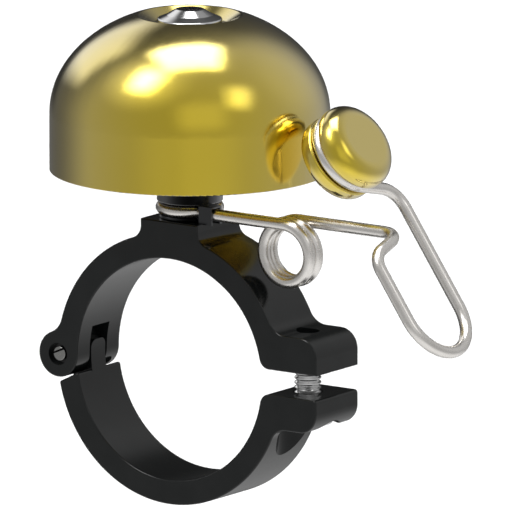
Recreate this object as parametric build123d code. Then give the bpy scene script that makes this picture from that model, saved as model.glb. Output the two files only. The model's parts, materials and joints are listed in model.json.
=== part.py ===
from build123d import *
import math
import os

# Bicycle bell with a hinged handlebar clamp, a brass dome and a sprung striker.
# Millimetres. Origin: centre of the handlebar bore. +Y runs along the handlebar,
# +Z up through the stem of the dome, +X towards the thumb lever.

# ---- handlebar clamp: one ring in two jaws ----
BORE_R = 15.9                # 31.8 mm oversize handlebar
RING_R = 19.35
CLAMP_W = 10.35              # along the bar
EDGE = 0.2                   # broken edge round both flat sides
BOSS_HALF_X = 4.9
BOSS_TOP = 21.2
BOSS_BLEND = 2.0
LUG_TIP_X = 25.3
UPPER_LUG_BOTTOM = 2.05
UPPER_LUG_TOP = 7.15
LOWER_LUG_TOP = -1.5
LOWER_LUG_BOTTOM = -6.4
LUG_BLEND = 3.0
LOWER_LUG_BLEND = 2.6
LUG_TIP_R = 2.8
LUG_BORE_R = 1.6             # rounding where a lug face meets the bore
LUG_CORNER_R = 0.5

# ---- hinge ----
PIN_X = -19.2
PIN_R = 1.03
PIN_LEN = 9.7
PIN_SINK_R = 1.6             # counterbore round each end of the pin
PIN_SINK = 0.9
PIN_SLIT_W = 0.28
PIN_SLIT_DEEP = 0.45
PIN_SLIT_OFF = 0.43          # above the pin's axis
PIN_SLIT_TURN = -23.0        # degrees from level
EAR_R = -PIN_X - BORE_R      # the ear's round just touches the bore
EAR_BLEND = 3.0
SLOT_HALF = 2.08
SLOT_TOP = 3.95
TONGUE_HALF = 1.7
TONGUE_R = 2.8
TONGUE_TOP = 1.8
TONGUE_CROWN_R = 1.1
TONGUE_ROOT = -5.5           # down inside the lower jaw
TONGUE_INSET = 0.05          # behind the outside of the ring
END_INNER = (-15.73, -2.26)  # the lower jaw's end face, at the bore and outside
END_OUTER = (-19.0, -3.93)
END_INNER_R = 0.35
END_OUTER_R = 0.3
RUNNING = 0.05               # radial clearance of a turning fit

# ---- clamp screw, M4 low head ----
SCREW_X = 20.3
THREAD_R = 1.9
THREAD_PITCH = 0.7
THREAD_DEPTH = 0.32
SCREW_TIP = 4.8
TAP_R = 1.65
CLEAR_R = 2.1
HEAD_R = 3.5
HEAD_H = 2.8
SINK_R = 4.5
SINK_ROOF = -3.2             # underside of the web that the head pulls on
HEAD_ROUND = 0.35
HEX_AF = 2.5
HEX_DEEP = 1.5
BORE_END = 0.3               # room left past the tip of a screw

# ---- dome ----
DOME_R = 19.77
RIM_Z = 27.98
SHOULDER_Z = 36.1
SHOULDER_H = 15.1
DOME_T = 1.6
DISH_R = 7.37
DISH_FLOOR_R = 5.2
DISH_FLOOR_Z = 48.75
DISH_T = 1.9                 # metal left under the dish floor
DISH_LIP_R = 0.35
DISH_ROOT_R = 0.6
RIM_ROUND = 0.12

# ---- stem ----
STEM_R = 4.66
STEM_BOTTOM = 23.55
HUB_R = 3.05
FLANGE_R = 4.3
FLANGE_T = 0.45
STEM_BORE_R = 2.15
DOME_SCREW_R = 1.95
DOME_SCREW_TIP = 17.2
DOME_TAP_R = 2.0
DOME_HEAD_R = 4.6            # flange under the button head
DOME_HEAD_RIM = 0.85
BUTTON_FOOT_R = 3.3
BUTTON_FOOT = 1.38
BUTTON_TOP_R = 1.95
BUTTON_TOP = 2.2
DOME_HEX_AF = 2.9
DOME_HEX_DEEP = 1.6

# ---- spring wire ----
WIRE_R = 0.87
WIRE_Z = 22.6
LOOP_R = 3.97
LOOP_FREE_END = -42.0        # degrees from +X
LOOP_LEAVES = -20.0
LEG_Y = -2.93
COIL_X = 18.06
COIL_R = 4.22
COIL_TURNS = 2
COIL_PITCH = 1.84
COIL_Z = WIRE_Z - COIL_R
EXIT_Y = LEG_Y + COIL_TURNS * COIL_PITCH
JOIN_GAP = 0.08              # between the spring's three lengths, which twist apart

# ---- thumb lever and striker, drawn in a plane that leans out from the dome ----
LEAN = 35.0                  # of the plane from vertical, degrees
RING_AT = (26.89, 0.0, 33.38)  # centre of the wire's ring in the striker
STRIKER_RING_R = 5.3
THUMB_HALF = 6.18            # the loop's legs lie this far each side of the knob's axis
THUMB_BOTTOM = 32.03
THUMB_BEND_R = 6.15
SHOULDER_W = 7.16            # where the right leg turns in to the striker
SHOULDER_R = 3.8
KNEE_X = 35.4                # where the straight leg from the coil turns aside
KNEE_R = 2.7
HIP_W = 15.67                # where the left leg starts
HIP_R = 2.8

# ---- striker knob, along its own axis from the wire's ring ----
GROOVE_R = STRIKER_RING_R - WIRE_R - 0.02
GROOVE_HALF = WIRE_R + 0.06
LAND = 0.25                  # rounding of the groove's two lips
KNOB_R = 6.3
KNOB_FACE = 4.05
KNOB_ROUND = 2.6
BACK_R = 6.2
BACK_FACE = 3.8
BACK_ROUND = 2.0


def ring_plane():
    """Across the lever: x along +Y, y down along the legs, z towards the dome."""
    lean = math.radians(LEAN)
    return Plane(origin=RING_AT, x_dir=(0, 1, 0), z_dir=(-math.cos(lean), 0, -math.sin(lean)))


def lever_point(across, down):
    """A point of the lever's plane in the bell's frame."""
    return ring_plane().from_local_coords((across, down, 0))


def slab(outline, width):
    """A clamp outline drawn in the XZ plane, given its width along the bar."""
    return extrude(Plane.XZ * outline, amount=width / 2, both=True)


def box_between(low, high):
    size = [b - a for a, b in zip(low, high)]
    middle = [(a + b) / 2 for a, b in zip(low, high)]
    return Pos(*middle) * Box(*size)


def rectangle_between(x0, y0, x1, y1):
    return Pos((x0 + x1) / 2, (y0 + y1) / 2) * Rectangle(x1 - x0, y1 - y0)


def corner_near(sketch, x, y):
    """The outline's corner that lies closest to a point."""
    return sketch.vertices().sort_by_distance(Vector(x, y, 0))[0]


def soften_sides(solid):
    """Breaks the edges round the two flat sides of a clamp jaw."""
    sides = solid.faces().filter_by(Axis.Y).sort_by(Axis.Y)
    return fillet(sides[0].edges() + sides[-1].edges(), EDGE)


def stud(radius, z0, z1, x=0.0):
    return Pos(x, 0, (z0 + z1) / 2) * Cylinder(radius, z1 - z0)


def hex_socket(across_flats, depth, z_mouth, x=0.0):
    socket = RegularPolygon(across_flats / 2, 6, major_radius=False)
    return Pos(x, 0, z_mouth) * extrude(socket, amount=depth, both=True)


def along_y(radius, y0, y1, x=0.0, z=0.0):
    return Pos(x, (y0 + y1) / 2, z) * Rot(90, 0, 0) * Cylinder(radius, y1 - y0)


def clamp_upper():
    """Upper jaw: stem boss on top, threaded lug at +X, hinge ears at -X."""
    ring = Circle(RING_R) - rectangle_between(-30, -30, 30, 0)
    boss = rectangle_between(-BOSS_HALF_X, 15, BOSS_HALF_X, BOSS_TOP)
    lug = rectangle_between(10, UPPER_LUG_BOTTOM, LUG_TIP_X, UPPER_LUG_TOP)
    outline = ring + boss + lug
    outline -= rectangle_between(10, -30, 30, UPPER_LUG_BOTTOM)
    outline -= Circle(BORE_R)
    outline += Pos(PIN_X, 0) * Circle(EAR_R)
    boss_foot = math.sqrt(RING_R**2 - BOSS_HALF_X**2)
    lug_foot = math.sqrt(RING_R**2 - UPPER_LUG_TOP**2)
    ear_foot = ear_meets_ring()
    outline = fillet(corner_near(outline, BOSS_HALF_X, boss_foot), BOSS_BLEND)
    outline = fillet(corner_near(outline, -BOSS_HALF_X, boss_foot), BOSS_BLEND)
    outline = fillet(corner_near(outline, lug_foot, UPPER_LUG_TOP), LUG_BLEND)
    outline = fillet(corner_near(outline, *ear_foot), EAR_BLEND)
    outline = fillet(corner_near(outline, LUG_TIP_X, UPPER_LUG_TOP), LUG_TIP_R)
    bore_corner = math.sqrt(BORE_R**2 - UPPER_LUG_BOTTOM**2)
    outline = fillet(corner_near(outline, bore_corner, UPPER_LUG_BOTTOM), LUG_BORE_R)
    jaw = soften_sides(slab(outline, CLAMP_W))
    jaw -= box_between((-30, -SLOT_HALF, -10), (-10, SLOT_HALF, SLOT_TOP))
    jaw -= along_y(PIN_R, -CLAMP_W, CLAMP_W, x=PIN_X)
    for end in (-1, 1):
        outside = end * CLAMP_W
        floor = end * (CLAMP_W / 2 - PIN_SINK)
        jaw -= along_y(PIN_SINK_R, min(outside, floor), max(outside, floor), x=PIN_X)
    jaw -= stud(TAP_R, -10, 30, SCREW_X)
    jaw -= stud(THREAD_R + 2 * RUNNING, -10, SCREW_TIP + BORE_END, SCREW_X)
    jaw -= stud(DOME_TAP_R, DOME_SCREW_TIP - BORE_END, 30)
    return jaw


def ear_meets_ring():
    """Where the ear's round crosses the outside of the ring, above the pin."""
    x = (RING_R**2 - EAR_R**2 + PIN_X**2) / (2 * PIN_X)
    return x, math.sqrt(RING_R**2 - x**2)


def clamp_lower():
    """Lower jaw: hinge tongue at -X, lug with a counterbore for the head at +X."""
    ring = Circle(RING_R) - rectangle_between(-30, 0, 30, 30)
    lug = rectangle_between(10, LOWER_LUG_BOTTOM, LUG_TIP_X, LOWER_LUG_TOP)
    outline = ring + lug
    outline -= rectangle_between(10, LOWER_LUG_TOP, 30, 30)
    lug_foot = math.sqrt(RING_R**2 - LOWER_LUG_BOTTOM**2)
    outline = fillet(corner_near(outline, lug_foot, LOWER_LUG_BOTTOM), LOWER_LUG_BLEND)
    outline = fillet(corner_near(outline, LUG_TIP_X, LOWER_LUG_BOTTOM), LUG_TIP_R)
    outline = fillet(corner_near(outline, LUG_TIP_X, LOWER_LUG_TOP), LUG_CORNER_R)
    outline -= Circle(BORE_R)
    bore_corner = math.sqrt(BORE_R**2 - LOWER_LUG_TOP**2)
    outline = fillet(corner_near(outline, bore_corner, LOWER_LUG_TOP), LUG_BORE_R)
    outline -= above_lower_end()
    outline = fillet(corner_near(outline, *END_INNER), END_INNER_R)
    outline = fillet(corner_near(outline, *END_OUTER), END_OUTER_R)
    jaw = soften_sides(slab(outline, CLAMP_W))
    jaw += tongue()
    jaw -= stud(CLEAR_R, -30, 30, SCREW_X)
    jaw -= stud(SINK_R, -12, SINK_ROOF, SCREW_X)
    return jaw


def above_lower_end():
    """Everything above the sloping end of the lower jaw, under the ears."""
    slope = (END_OUTER[1] - END_INNER[1]) / (END_OUTER[0] - END_INNER[0])
    corners = [(x, END_INNER[1] + slope * (x - END_INNER[0])) for x in (-10, -30)]
    return make_face(Polyline(*corners, (-30, 10), (-10, 10), close=True))


def tongue():
    """Hinge knuckle of the lower jaw, flush with the bore and rounded on top."""
    knuckle = Pos(PIN_X, 0) * Circle(TONGUE_R)
    knuckle -= rectangle_between(-30, TONGUE_TOP, 0, 10)
    knuckle = slab(knuckle, 2 * TONGUE_HALF)
    front = rectangle_between(-TONGUE_HALF, TONGUE_ROOT, TONGUE_HALF, TONGUE_TOP)
    front = fillet(front.vertices().group_by(Axis.Y)[-1], TONGUE_CROWN_R)
    neck = Plane.YZ.offset(PIN_X) * extrude(front, amount=5)
    neck &= along_y(RING_R - TONGUE_INSET, -CLAMP_W, CLAMP_W)
    neck -= along_y(BORE_R, -CLAMP_W, CLAMP_W)
    return knuckle + neck - along_y(PIN_R + RUNNING, -CLAMP_W, CLAMP_W, x=PIN_X)


def hinge_pin():
    """Rolled pin: pressed in the ears, running in the tongue, with a slit end."""
    pin = along_y(PIN_R, -PIN_LEN / 2, PIN_LEN / 2, x=PIN_X)
    pin = fillet(pin.edges().filter_by(GeomType.CIRCLE), 0.12)
    slit = Pos(0, 0, PIN_SLIT_OFF) * Box(4, 2 * PIN_SLIT_DEEP, PIN_SLIT_W)
    for end in (-1, 1):
        pin -= Pos(PIN_X, end * PIN_LEN / 2, 0) * Rot(0, PIN_SLIT_TURN, 0) * slit
    return pin


def clamp_screw():
    """Low-head socket screw with its thread as stacked ridges."""
    head_top = SINK_ROOF
    head = stud(HEAD_R, head_top - HEAD_H, head_top, SCREW_X)
    head = fillet(head.edges().filter_by(GeomType.CIRCLE).sort_by(Axis.Z)[0], HEAD_ROUND)
    head -= hex_socket(HEX_AF, HEX_DEEP, head_top - HEAD_H, SCREW_X)
    core = THREAD_R - THREAD_DEPTH
    points = [(0, head_top), (THREAD_R, head_top), (THREAD_R, head_top + 1.0)]
    z = head_top + 1.0
    while z + THREAD_PITCH < SCREW_TIP - 0.3:
        points.append((core, z + 0.32 * THREAD_PITCH))
        points.append((core, z + 0.42 * THREAD_PITCH))
        points.append((THREAD_R, z + 0.8 * THREAD_PITCH))
        points.append((THREAD_R, z + THREAD_PITCH))
        z += THREAD_PITCH
    points += [(core, SCREW_TIP), (0, SCREW_TIP)]
    shank = revolve(Plane.XZ * make_face(Polyline(*points, close=True)), Axis.Z)
    return head + Pos(SCREW_X, 0, 0) * shank


def dome():
    """Spun brass bowl with a dished crown for the screw."""
    def bowl(shrink):
        top = Ellipse(DOME_R - shrink, SHOULDER_H - shrink)
        top = Pos(0, SHOULDER_Z) * top - rectangle_between(-30, -10, 30, SHOULDER_Z)
        return top + rectangle_between(shrink - DOME_R, RIM_Z - 5, DOME_R - shrink, SHOULDER_Z)

    dish_edge = SHOULDER_Z + SHOULDER_H * math.sqrt(1 - (DISH_R / DOME_R) ** 2)
    floor = DISH_FLOOR_Z - DISH_T
    dish = make_face(Polyline(
        (0, DISH_FLOOR_Z),
        (DISH_FLOOR_R, DISH_FLOOR_Z),
        (DISH_R, dish_edge),
        (DISH_R, 60),
        (0, 60),
        close=True,
    ))
    profile = bowl(0) - dish
    profile -= bowl(DOME_T) - rectangle_between(-30, floor, 30, 60)
    profile -= rectangle_between(-30, 0, STEM_BORE_R, 60)
    profile -= rectangle_between(-30, 0, 30, RIM_Z)
    for r in (DOME_R, DOME_R - DOME_T):
        profile = fillet(corner_near(profile, r, RIM_Z), RIM_ROUND)
    profile = fillet(corner_near(profile, DISH_R, dish_edge), DISH_LIP_R)
    profile = fillet(corner_near(profile, DISH_FLOOR_R, DISH_FLOOR_Z), DISH_ROOT_R)
    return revolve(Plane.XZ * profile, Axis.Z)


def dome_screw():
    """Flanged button screw from the dish down into the boss."""
    seat = DISH_FLOOR_Z
    profile = make_face(Polyline(
        (0, DOME_SCREW_TIP),
        (DOME_SCREW_R - 0.4, DOME_SCREW_TIP),
        (DOME_SCREW_R, DOME_SCREW_TIP + 0.4),
        (DOME_SCREW_R, seat),
        (DOME_HEAD_R, seat),
        (DOME_HEAD_R, seat + DOME_HEAD_RIM),
        (BUTTON_FOOT_R, seat + BUTTON_FOOT),
        (BUTTON_TOP_R, seat + BUTTON_TOP),
        (0, seat + BUTTON_TOP),
        close=True,
    ))
    profile = fillet(corner_near(profile, DOME_HEAD_R, seat + DOME_HEAD_RIM), 0.3)
    profile = fillet(corner_near(profile, BUTTON_FOOT_R, seat + BUTTON_FOOT), 0.8)
    profile = fillet(corner_near(profile, BUTTON_TOP_R, seat + BUTTON_TOP), 0.35)
    screw = revolve(Plane.XZ * profile, Axis.Z)
    return screw - hex_socket(DOME_HEX_AF, DOME_HEX_DEEP, seat + BUTTON_TOP)


def stem_spacer():
    """Black spool: carries the dome, holds the spring's loop and stops it turning."""
    dome_floor = DISH_FLOOR_Z - DISH_T
    profile = make_face(Polyline(
        (STEM_BORE_R, BOSS_TOP),
        (FLANGE_R, BOSS_TOP),
        (FLANGE_R, BOSS_TOP + FLANGE_T),
        (HUB_R, BOSS_TOP + FLANGE_T),
        (HUB_R, STEM_BOTTOM),
        (STEM_R, STEM_BOTTOM),
        (STEM_R, dome_floor),
        (STEM_BORE_R, dome_floor),
        close=True,
    ))
    profile = fillet(corner_near(profile, STEM_R, STEM_BOTTOM), 0.2)
    profile = fillet(corner_near(profile, FLANGE_R, BOSS_TOP), 0.15)
    spool = revolve(Plane.XZ * profile, Axis.Z)
    return spool + spring_stop()


def spring_stop():
    """Block on the spool that the wire's free end butts on and its leg passes."""
    plan = make_face(Polyline(
        (2.35, -2.12),
        (4.1, -3.69),
        (4.35, -4.0),
        (6.6, -4.0),
        (6.6, -1.6),
        (3.1, -0.9),
        close=True,
    ))
    block = Pos(0, 0, BOSS_TOP) * extrude(plan, amount=STEM_BOTTOM + 0.2 - BOSS_TOP)
    way = extrude(trace(anchor_route(), 2 * WIRE_R + 0.1), amount=STEM_BOTTOM - 0.01)
    return block - way


def anchor_route():
    """Centre line of the loop round the stem and the leg to the coil, on z = 0."""
    loop = CenterArc((0, 0), LOOP_R, LOOP_FREE_END, LOOP_LEAVES - LOOP_FREE_END - 360)
    heading = math.radians(LOOP_LEAVES - 90)
    drop = LOOP_R * math.sin(math.radians(LOOP_LEAVES)) - LEG_Y
    turn = 90 - LOOP_LEAVES
    bend_r = drop / (1 - math.cos(math.radians(turn)))
    bend = JernArc(loop @ 1, (math.cos(heading), math.sin(heading)), bend_r, turn)
    leg = Line(bend @ 1, (COIL_X - JOIN_GAP, LEG_Y))
    return Curve() + [loop, bend, leg]


def wire(route):
    """Round wire along a centre line."""
    path = Wire(route.edges())
    start = Plane(origin=path @ 0, z_dir=path % 0)
    return sweep(start * Circle(WIRE_R), path)


def spring_anchor():
    """Fixed end of the wire: loop round the stem and the leg to the coil."""
    return wire(Pos(0, 0, WIRE_Z) * anchor_route())


def spring_coil():
    """The two torsion turns, from the top of the coil to the top again."""
    turns = Helix(COIL_PITCH, COIL_TURNS * COIL_PITCH, COIL_R)
    stand = Plane(origin=(COIL_X, LEG_Y, COIL_Z), x_dir=(0, 0, 1), z_dir=(0, 1, 0))
    path = Wire([stand * turns])
    start = Plane(origin=path @ 0, z_dir=path % 0)
    return sweep(start * Circle(WIRE_R), path, is_frenet=True)


def lever_route():
    """Centre line from the coil to the thumb loop and up round the striker."""
    reach = math.hypot(THUMB_HALF, SHOULDER_W)
    touch = math.atan2(SHOULDER_W, THUMB_HALF) + math.acos(STRIKER_RING_R / reach)
    corners = [
        (-THUMB_HALF, HIP_W),
        (-THUMB_HALF, THUMB_BOTTOM),
        (THUMB_HALF, THUMB_BOTTOM),
        (THUMB_HALF, SHOULDER_W),
        (STRIKER_RING_R * math.cos(touch), STRIKER_RING_R * math.sin(touch)),
    ]
    exit_leg = [Vector(x, EXIT_Y, WIRE_Z) for x in (COIL_X + JOIN_GAP, KNEE_X)]
    points = exit_leg + [lever_point(*c) for c in corners]
    bends = [KNEE_R, HIP_R, THUMB_BEND_R, THUMB_BEND_R, SHOULDER_R]
    legs = FilletPolyline(*points, radius=bends)
    ring = ring_plane() * CenterArc((0, 0), STRIKER_RING_R, math.degrees(touch), 300)
    return Curve() + legs.edges() + ring.edges()


def thumb_lever():
    return wire(lever_route())


def striker_knob():
    """Turned brass hammer: rounded back, groove for the wire, flat-faced cap."""
    profile = make_face(Polyline(
        (0, KNOB_FACE),
        (0, -BACK_FACE),
        (BACK_R, -BACK_FACE),
        (BACK_R, -GROOVE_HALF),
        (GROOVE_R, -GROOVE_HALF),
        (GROOVE_R, GROOVE_HALF),
        (KNOB_R, GROOVE_HALF),
        (KNOB_R, KNOB_FACE),
        close=True,
    ))
    profile = fillet(corner_near(profile, KNOB_R, KNOB_FACE), KNOB_ROUND)
    profile = fillet(corner_near(profile, BACK_R, -BACK_FACE), BACK_ROUND)
    profile = fillet(corner_near(profile, BACK_R, -GROOVE_HALF), LAND)
    profile = fillet(corner_near(profile, KNOB_R, GROOVE_HALF), LAND)
    return ring_plane() * Rot(180, 0, 0) * revolve(Plane.XZ * profile, Axis.Z)


PARTS = {
    "clamp_upper": clamp_upper,
    "clamp_lower": clamp_lower,
    "hinge_pin": hinge_pin,
    "clamp_screw": clamp_screw,
    "dome": dome,
    "dome_screw": dome_screw,
    "stem_spacer": stem_spacer,
    "spring_anchor": spring_anchor,
    "spring_coil": spring_coil,
    "thumb_lever": thumb_lever,
    "striker_knob": striker_knob,
}

os.makedirs("parts", exist_ok=True)
for name, make in PARTS.items():
    export_step(make(), f"parts/{name}.step")
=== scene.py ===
import json
import math

import bmesh
import bpy
from mathutils import Matrix, Vector


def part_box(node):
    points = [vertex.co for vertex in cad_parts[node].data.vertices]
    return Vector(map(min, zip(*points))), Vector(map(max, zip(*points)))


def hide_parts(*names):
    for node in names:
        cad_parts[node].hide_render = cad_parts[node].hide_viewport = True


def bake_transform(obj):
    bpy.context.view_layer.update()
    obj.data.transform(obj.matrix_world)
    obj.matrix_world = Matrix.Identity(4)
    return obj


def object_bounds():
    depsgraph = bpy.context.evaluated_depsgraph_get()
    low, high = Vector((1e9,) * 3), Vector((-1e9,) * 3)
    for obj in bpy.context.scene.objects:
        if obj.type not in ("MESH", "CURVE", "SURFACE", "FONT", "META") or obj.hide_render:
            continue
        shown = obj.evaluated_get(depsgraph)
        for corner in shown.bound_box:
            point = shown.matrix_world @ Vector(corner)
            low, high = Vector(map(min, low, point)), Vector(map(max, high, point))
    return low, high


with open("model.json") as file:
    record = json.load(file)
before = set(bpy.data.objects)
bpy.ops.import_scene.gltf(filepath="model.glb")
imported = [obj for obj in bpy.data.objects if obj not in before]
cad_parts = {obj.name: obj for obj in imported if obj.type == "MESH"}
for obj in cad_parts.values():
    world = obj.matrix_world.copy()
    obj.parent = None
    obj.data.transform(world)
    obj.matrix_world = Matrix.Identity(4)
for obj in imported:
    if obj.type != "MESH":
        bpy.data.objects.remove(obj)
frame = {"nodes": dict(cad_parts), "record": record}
cad_low, cad_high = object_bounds()

MM = 0.001
nodes = frame["nodes"]

# ---- camera: the photograph's angle, through a very long lens ----
AZIMUTH = math.radians(35.195)
ELEVATION = math.radians(11.43)
LOOK_AT = Vector((5.74, 7.76, 15.02)) * MM
FIELD = 71.64 * MM           # width of the picture at the object's near side
NEAR_SIDE = 10.0 * MM        # how far that plane is in front of LOOK_AT
LENS = 1650.0

towards = Vector((
    math.sin(AZIMUTH) * math.cos(ELEVATION),
    -math.cos(AZIMUTH) * math.cos(ELEVATION),
    math.sin(ELEVATION),
))
camera = bpy.data.objects.new("camera", bpy.data.cameras.new("camera"))
bpy.context.scene.collection.objects.link(camera)
camera.data.sensor_width = 36.0
camera.data.lens = LENS
camera.location = LOOK_AT + towards * (NEAR_SIDE + FIELD * LENS / camera.data.sensor_width)
camera.rotation_mode = "QUATERNION"
camera.rotation_quaternion = (-towards).to_track_quat("-Z", "Y")
camera.data.clip_start = 0.05
camera.data.clip_end = 50.0
bpy.context.scene.camera = camera
bpy.context.scene.view_settings.view_transform = "Standard"


# ---- materials ----
def material(name, base, metallic, roughness, **extra):
    """A Principled material; extra are sockets that are the same all over."""
    made = bpy.data.materials.new(name)
    made.use_nodes = True
    tree = made.node_tree
    shader = tree.nodes["Principled BSDF"]
    shader.inputs["Base Color"].default_value = (*base, 1.0)
    shader.inputs["Metallic"].default_value = metallic
    shader.inputs["Roughness"].default_value = roughness
    for socket, value in extra.items():
        shader.inputs[socket.replace("_", " ")].default_value = value
    return made


def noise(tree, scale, detail=3.0, stretch=(1, 1, 1)):
    """Noise in object space; scale is in features per millimetre."""
    place = tree.nodes.new("ShaderNodeTexCoord")
    mapping = tree.nodes.new("ShaderNodeMapping")
    mapping.inputs["Scale"].default_value = [s / MM for s in stretch]
    texture = tree.nodes.new("ShaderNodeTexNoise")
    texture.inputs["Scale"].default_value = scale
    texture.inputs["Detail"].default_value = detail
    tree.links.new(place.outputs["Object"], mapping.inputs["Vector"])
    tree.links.new(mapping.outputs["Vector"], texture.inputs["Vector"])
    return texture.outputs["Fac"]


def between(tree, factor, low, high):
    """Maps 0.3..0.7 of a noise to low..high."""
    ramp = tree.nodes.new("ShaderNodeMapRange")
    ramp.inputs["From Min"].default_value = 0.3
    ramp.inputs["From Max"].default_value = 0.7
    ramp.inputs["To Min"].default_value = low
    ramp.inputs["To Max"].default_value = high
    tree.links.new(factor, ramp.inputs["Value"])
    return ramp.outputs["Result"]


def vary_colour(made, factor, low, high):
    tree = made.node_tree
    mix = tree.nodes.new("ShaderNodeMix")
    mix.data_type = "RGBA"
    mix.inputs["A"].default_value = (*low, 1.0)
    mix.inputs["B"].default_value = (*high, 1.0)
    tree.links.new(factor, mix.inputs["Factor"])
    tree.links.new(mix.outputs["Result"], tree.nodes["Principled BSDF"].inputs["Base Color"])


def vary_roughness(made, factor):
    tree = made.node_tree
    tree.links.new(factor, tree.nodes["Principled BSDF"].inputs["Roughness"])


def whiten_edge_on(made, edge_colour, most, power):
    """Mixes the base colour towards another as the surface turns edge-on."""
    tree = made.node_tree
    socket = tree.nodes["Principled BSDF"].inputs["Base Color"]
    face_on = socket.links[0].from_socket
    facing = tree.nodes.new("ShaderNodeLayerWeight")
    facing.inputs["Blend"].default_value = 0.5
    curve = tree.nodes.new("ShaderNodeMath")
    curve.operation = "POWER"
    curve.inputs[1].default_value = power
    scale = tree.nodes.new("ShaderNodeMath")
    scale.operation = "MULTIPLY"
    scale.inputs[1].default_value = most
    mix = tree.nodes.new("ShaderNodeMix")
    mix.data_type = "RGBA"
    mix.inputs["B"].default_value = (*edge_colour, 1.0)
    tree.links.new(facing.outputs["Facing"], curve.inputs[0])
    tree.links.new(curve.outputs["Value"], scale.inputs[0])
    tree.links.new(scale.outputs["Value"], mix.inputs["Factor"])
    tree.links.new(face_on, mix.inputs["A"])
    tree.links.new(mix.outputs["Result"], socket)


def brass():
    """Polished brass; its edge-on reflections lose their colour, as under lacquer."""
    made = material("brass", (0.75, 0.58, 0.06), 1.0, 0.13)
    tree = made.node_tree
    vary_colour(made, between(tree, noise(tree, 0.12), 0, 1), (0.745, 0.57, 0.055), (0.755, 0.58, 0.06))
    whiten_edge_on(made, (0.75, 0.75, 0.75), 0.8, 1.3)
    vary_roughness(made, between(tree, noise(tree, 0.5, 5.0), 0.125, 0.145))
    return made


def black_anodised():
    made = material("black_anodised", (0.006, 0.007, 0.007), 0.0, 0.13, Specular_IOR_Level=0.36)
    tree = made.node_tree
    vary_colour(made, between(tree, noise(tree, 0.3), 0, 1), (0.005, 0.006, 0.006), (0.008, 0.009, 0.009))
    vary_roughness(made, between(tree, noise(tree, 0.8, 4.0), 0.11, 0.16))
    return made


def wire_steel():
    made = material("wire_steel", (0.76, 0.735, 0.7), 1.0, 0.27)
    tree = made.node_tree
    vary_colour(made, between(tree, noise(tree, 0.6), 0, 1), (0.74, 0.715, 0.68), (0.79, 0.765, 0.735))
    vary_roughness(made, between(tree, noise(tree, 1.5, 4.0), 0.24, 0.3))
    return made


def screw_steel():
    made = material("screw_steel", (0.72, 0.72, 0.72), 1.0, 0.12)
    tree = made.node_tree
    vary_roughness(made, between(tree, noise(tree, 1.5, 4.0), 0.1, 0.16))
    return made


def pin_steel():
    """Bright on its two ends; black in the slit and down the side, as painted shade of the slit and the
    recess round the pin.
    """
    made = material("pin_steel", (0.3, 0.3, 0.29), 1.0, 0.22)
    tree = made.node_tree
    place = tree.nodes.new("ShaderNodeTexCoord")
    split = tree.nodes.new("ShaderNodeSeparateXYZ")
    away = tree.nodes.new("ShaderNodeMath")
    away.operation = "ABSOLUTE"
    # mask: 0 where shade is painted (pin side and slit), 1 on the two end faces
    end_face_vs_painted_shade = tree.nodes.new("ShaderNodeMapRange")
    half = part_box("hinge_pin")[1].y
    end_face_vs_painted_shade.inputs["From Min"].default_value = half - 0.14 * MM
    end_face_vs_painted_shade.inputs["From Max"].default_value = half - 0.06 * MM
    tree.links.new(place.outputs["Object"], split.inputs["Vector"])
    tree.links.new(split.outputs["Y"], away.inputs[0])
    tree.links.new(away.outputs["Value"], end_face_vs_painted_shade.inputs["Value"])
    # painted shade: near-black base colour on the side and in the slit, steel colour only at the end
    # faces
    vary_colour(made, end_face_vs_painted_shade.outputs["Result"], (0.004, 0.004, 0.004), (0.3, 0.3, 0.29))
    vary_roughness(made, between(tree, noise(tree, 2.5, 4.0), 0.18, 0.28))
    return made


def stem_black():
    """Black that shines only where it turns edge-on."""
    made = material("stem_black", (0.002, 0.002, 0.002), 1.0, 0.2)
    tree = made.node_tree
    vary_colour(made, between(tree, noise(tree, 0.3), 0, 1), (0.002, 0.002, 0.002), (0.004, 0.004, 0.004))
    whiten_edge_on(made, (0.6, 0.61, 0.63), 1.0, 1.5)
    vary_roughness(made, between(tree, noise(tree, 1.0, 4.0), 0.17, 0.24))
    return made


FINISH = {
    "clamp_black": black_anodised(),
    "pin_steel": pin_steel(),
    "screw_steel": screw_steel(),
    "brass": brass(),
    "spacer_black": stem_black(),
    "spring_wire": wire_steel(),
}

for part in frame["record"]["subparts"]:
    shown = nodes[part["node"]]
    shown.data.materials.clear()
    shown.data.materials.append(FINISH[part["material_slot"]])
    shown.data.shade_smooth()
    shown.data.set_sharp_from_angle(angle=math.radians(28))


# ---- spring coil: one smooth wound wire that closes on both legs, wound round between them ----
COIL_TURNS = 2
COIL_STEPS = 72              # rings of the mesh in one turn
WIRE_SIDES = 32
WIRE_R = 0.87 * MM


def coil_route():
    """Centre line from the fixed leg's end, round the coil, to the lever's start."""
    low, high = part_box("spring_coil")
    middle = (low + high) / 2
    radius = (high.z - low.z) / 2 - WIRE_R
    first_y, last_y = low.y + WIRE_R, high.y - WIRE_R
    top = middle.z + radius
    route = [Vector((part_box("spring_anchor")[1].x, first_y, top))]
    steps = COIL_TURNS * COIL_STEPS
    for step in range(steps + 1):
        turn = math.tau * step / COIL_STEPS
        route.append(Vector((
            middle.x + radius * math.sin(turn),
            first_y + (last_y - first_y) * step / steps,
            middle.z + radius * math.cos(turn),
        )))
    route.append(Vector((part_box("thumb_lever")[0].x, last_y, top)))
    return route


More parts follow.
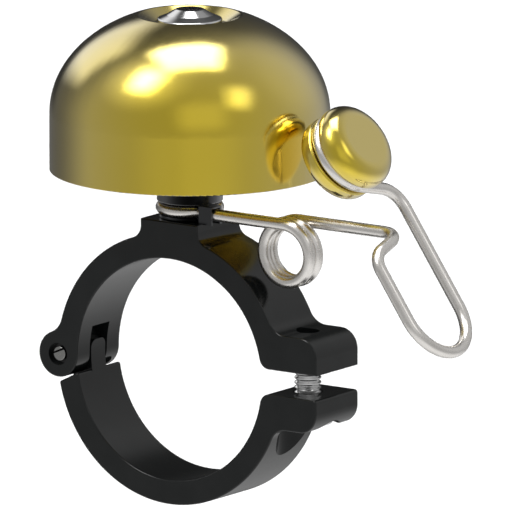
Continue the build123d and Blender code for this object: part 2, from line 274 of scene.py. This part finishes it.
def round_wire(name, route, radius):
    """A tube of one radius along a route, closed at both ends."""
    build = bmesh.new()
    rings = []
    side = Vector((0, 1, 0))
    for index, point in enumerate(route):
        ahead = route[min(index + 1, len(route) - 1)] - route[max(index - 1, 0)]
        ahead.normalize()
        side = (side - ahead * side.dot(ahead)).normalized()
        other = ahead.cross(side)
        ring = []
        for corner in range(WIRE_SIDES):
            angle = math.tau * corner / WIRE_SIDES
            offset = side * math.cos(angle) + other * math.sin(angle)
            ring.append(build.verts.new(point + offset * radius))
        rings.append(ring)
    for near, far in zip(rings, rings[1:]):
        for corner in range(WIRE_SIDES):
            after = (corner + 1) % WIRE_SIDES
            build.faces.new((near[corner], near[after], far[after], far[corner]))
    build.faces.new(rings[0][::-1])
    build.faces.new(rings[-1])
    made = bpy.data.meshes.new(name)
    build.to_mesh(made)
    build.free()
    made.shade_smooth()
    made.set_sharp_from_angle(angle=math.radians(40))
    tube = bpy.data.objects.new(name, made)
    bpy.context.scene.collection.objects.link(tube)
    return tube


coil = round_wire("wound_coil", coil_route(), WIRE_R)
coil.data.materials.append(FINISH["spring_wire"])
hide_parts("spring_coil")
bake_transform(coil)


# ---- studio: soft boxes and walls round the bell, as light by direction ----
scene = bpy.context.scene
world = bpy.data.worlds.new("studio")
scene.world = world
world.use_nodes = True
sky = world.node_tree
direction = sky.nodes.new("ShaderNodeTexCoord").outputs["Generated"]


def math_node(operation, a, b=None, clamp=False):
    node = sky.nodes.new("ShaderNodeMath")
    node.operation = operation
    node.use_clamp = clamp
    for socket, value in zip(node.inputs, (a, b)):
        if value is None:
            continue
        if isinstance(value, (int, float)):
            socket.default_value = value
        else:
            sky.links.new(value, socket)
    return node.outputs["Value"]


def along(azimuth, elevation):
    """How far a ray's direction points along another, from -1 to 1."""
    a, e = math.radians(azimuth), math.radians(elevation)
    node = sky.nodes.new("ShaderNodeVectorMath")
    node.operation = "DOT_PRODUCT"
    node.inputs[1].default_value = (
        math.cos(a) * math.cos(e),
        math.sin(a) * math.cos(e),
        math.sin(e),
    )
    sky.links.new(direction, node.inputs[0])
    return node.outputs["Value"]


def smooth(value, zero_at, one_at):
    node = sky.nodes.new("ShaderNodeMapRange")
    node.interpolation_type = "SMOOTHSTEP"
    node.inputs["From Min"].default_value = zero_at
    node.inputs["From Max"].default_value = one_at
    sky.links.new(value, node.inputs["Value"])
    return node.outputs["Result"]


def round_box(azimuth, elevation, core, rim):
    """1 within core degrees of a direction, fading to 0 at rim degrees."""
    off = math_node("ARCCOSINE", along(azimuth, elevation))
    return smooth(off, math.radians(rim), math.radians(core))


def square_box(azimuth, elevation, turn, half_width, half_height, soft):
    """A flat rectangle of light that faces the bell; sizes per unit distance."""
    a, e, t = (math.radians(v) for v in (azimuth, elevation, turn))
    right = Vector((-math.sin(a), math.cos(a), 0))
    up = Vector((-math.cos(a) * math.sin(e), -math.sin(a) * math.sin(e), math.cos(e)))
    ahead = along(azimuth, elevation)
    across_dir = right * math.cos(t) + up * math.sin(t)
    up_dir = up * math.cos(t) - right * math.sin(t)
    level = None
    for axis, half in ((across_dir, half_width), (up_dir, half_height)):
        node = sky.nodes.new("ShaderNodeVectorMath")
        node.operation = "DOT_PRODUCT"
        node.inputs[1].default_value = axis
        sky.links.new(direction, node.inputs[0])
        offset = math_node("ABSOLUTE", math_node("DIVIDE", node.outputs["Value"], ahead))
        edge = smooth(offset, half + soft, half - soft)
        level = edge if level is None else math_node("MULTIPLY", level, edge)
    return math_node("MULTIPLY", level, smooth(ahead, 0.0, 0.05))


def bearing(azimuth):
    """As along, but between compass bearings only, whatever the elevation."""
    height = math_node("MULTIPLY", along(0, 90), along(0, 90))
    level_part = math_node("SQRT", math_node("MAXIMUM", math_node("SUBTRACT", 1.0, height), 0.000001))
    return math_node("DIVIDE", along(azimuth, 0), level_part)


def light_level():
    """Brightness of the studio in every direction."""
    below = along(0, -90)
    near_floor = math_node("MULTIPLY", smooth(below, 0.1, 0.2), smooth(along(-55, 0), 0.6, 0.95))
    washes = (
        (0.3, smooth(bearing(145), 1.0, 0.3)),         # walls, dark at the back
        (0.05, smooth(along(20, 0), 0.0, 0.3)),        # right wall
        (0.5, smooth(below, 0.15, 0.7)),               # white table
        (0.1, near_floor),
        (0.7, round_box(-115, 55, 0, 40)),             # glow round the left lamp
        (0.1, round_box(60, 30, 10, 40)),
    )
    boxes = (
        (0.2, square_box(-45, 20, 0, 0.35, 0.3, 0.2)),      # reflector by the camera
        (6.5, square_box(135, 86, 0, 0.3, 0.25, 0.1)),      # overhead box
        (9.0, square_box(-115, 56, 10, 0.15, 0.2, 0.15)),   # left lamp
        (1.3, square_box(-5, 38, -25, 0.15, 0.2, 0.15)),    # right lamp
        (1.0, square_box(160, 30, 25, 0.35, 0.3, 0.15)),    # back panel
    )
    level = None
    for radiance, shape in washes + boxes:
        part = math_node("MULTIPLY", shape, radiance)
        level = math_node("ADD", part, 0.12 if level is None else level)
    flag = smooth(bearing(126), 0.8, 0.95)
    flag = math_node("MULTIPLY", flag, smooth(along(0, -90), 0.2, 0.05))
    flag = math_node("MULTIPLY", flag, smooth(along(0, 90), 0.95, 0.6))
    return math_node("SUBTRACT", level, math_node("MULTIPLY", flag, 0.09))


back = sky.nodes["Background"]
back.inputs["Color"].default_value = (1, 1, 1, 1)
sky.links.new(light_level(), back.inputs["Strength"])
paper = sky.nodes.new("ShaderNodeBackground")
paper.inputs["Color"].default_value = (1, 1, 1, 1)
seen = sky.nodes.new("ShaderNodeLightPath")
mix = sky.nodes.new("ShaderNodeMixShader")
sky.links.new(seen.outputs["Is Camera Ray"], mix.inputs["Fac"])
sky.links.new(back.outputs["Background"], mix.inputs[1])
sky.links.new(paper.outputs["Background"], mix.inputs[2])
sky.links.new(mix.outputs["Shader"], sky.nodes["World Output"].inputs["Surface"])

# ---- floor: seen by the camera only, so the bell is lit by the studio alone ----
mesh = bpy.data.meshes.new("floor")
build = bmesh.new()
bmesh.ops.create_grid(build, x_segments=1, y_segments=1, size=6.0)
build.to_mesh(mesh)
build.free()
floor = bpy.data.objects.new("floor", mesh)
scene.collection.objects.link(floor)
floor.location.z = cad_low.z - 0.12
floor.visible_diffuse = False
floor.visible_glossy = False
floor.visible_shadow = False
mesh.materials.append(material("floor_paper", (0.9, 0.9, 0.9), 0.0, 0.9))
